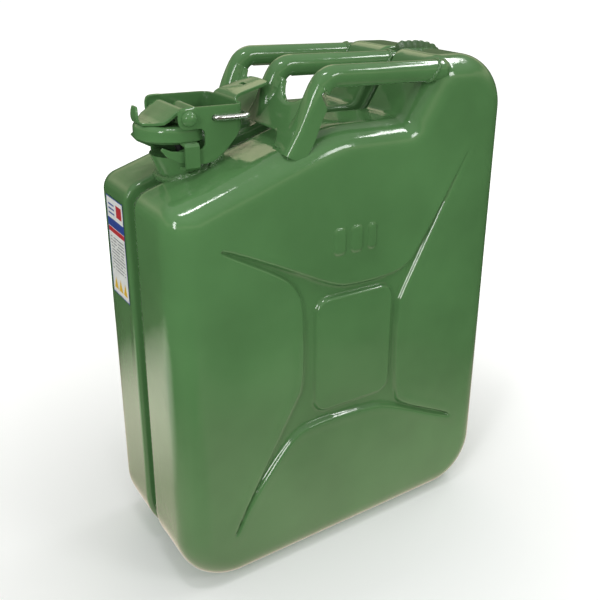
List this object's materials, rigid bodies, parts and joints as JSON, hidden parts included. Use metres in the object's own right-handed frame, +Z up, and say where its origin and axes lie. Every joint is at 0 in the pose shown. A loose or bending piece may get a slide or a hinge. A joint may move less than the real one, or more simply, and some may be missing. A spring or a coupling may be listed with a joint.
{
  "type": "jerry can",
  "caption": "Pressed-steel fuel can with triple carrying handles, a filler neck and a cam-lever cap held by a sliding safety pin.",
  "frame": {"origin": "centre of the footprint on the ground plane, midway along the length and on the weld plane", "axes": "+Z up, X along the length with the filler neck at -X, Y across the thickness"},
  "size_m": [0.3453, 0.165, 0.47],
  "materials": {
    "green_paint": "gloss enamel",
    "zinc": "bright zinc plating",
    "rubber": "matte",
    "label_white": "printed vinyl"
  },
  "bodies": {
    "can": {"near_half": "green_paint", "far_half": "green_paint", "seam_rim": "green_paint", "neck": "green_paint", "neck_weld": "green_paint", "near_strap": "green_paint", "far_strap": "green_paint", "hinge_bracket": "green_paint", "hinge_pin": "zinc", "handle_plate": "green_paint", "near_handle": "green_paint", "middle_handle": "green_paint", "far_handle": "green_paint", "plate_weld": "green_paint", "handle_welds": "green_paint", "breather_tube": "zinc", "label": "label_white"},
    "cap": {"cap": "green_paint", "gasket": "rubber", "retainer_disc": "zinc", "centre_rivet": "zinc", "saddle": "green_paint", "pivot_pin": "green_paint"},
    "lever": {"lever": "green_paint"},
    "safety_pin": {"safety_pin": "zinc"}
  },
  "joints": [
    {"name": "cap_hinge", "type": "hinge", "parent": "can", "child": "cap", "pos_m": [-0.0925, 0, 0.4165], "axis": [0, 1, 0], "range_deg": [0, 20]},
    {"name": "lever_lift", "type": "hinge", "parent": "cap", "child": "lever", "pos_m": [-0.132, 0, 0.426], "axis": [0, -1, 0], "range_deg": [0, 140]},
    {"name": "safety_pin_slide", "type": "slide", "parent": "lever", "child": "safety_pin", "axis": [0, -1, 0], "range_m": [0, 0.08]}
  ],
  "couplings": [
    {"joint": "cap_hinge", "follows": "lever_lift", "ratio": 0.14286}
  ]
}
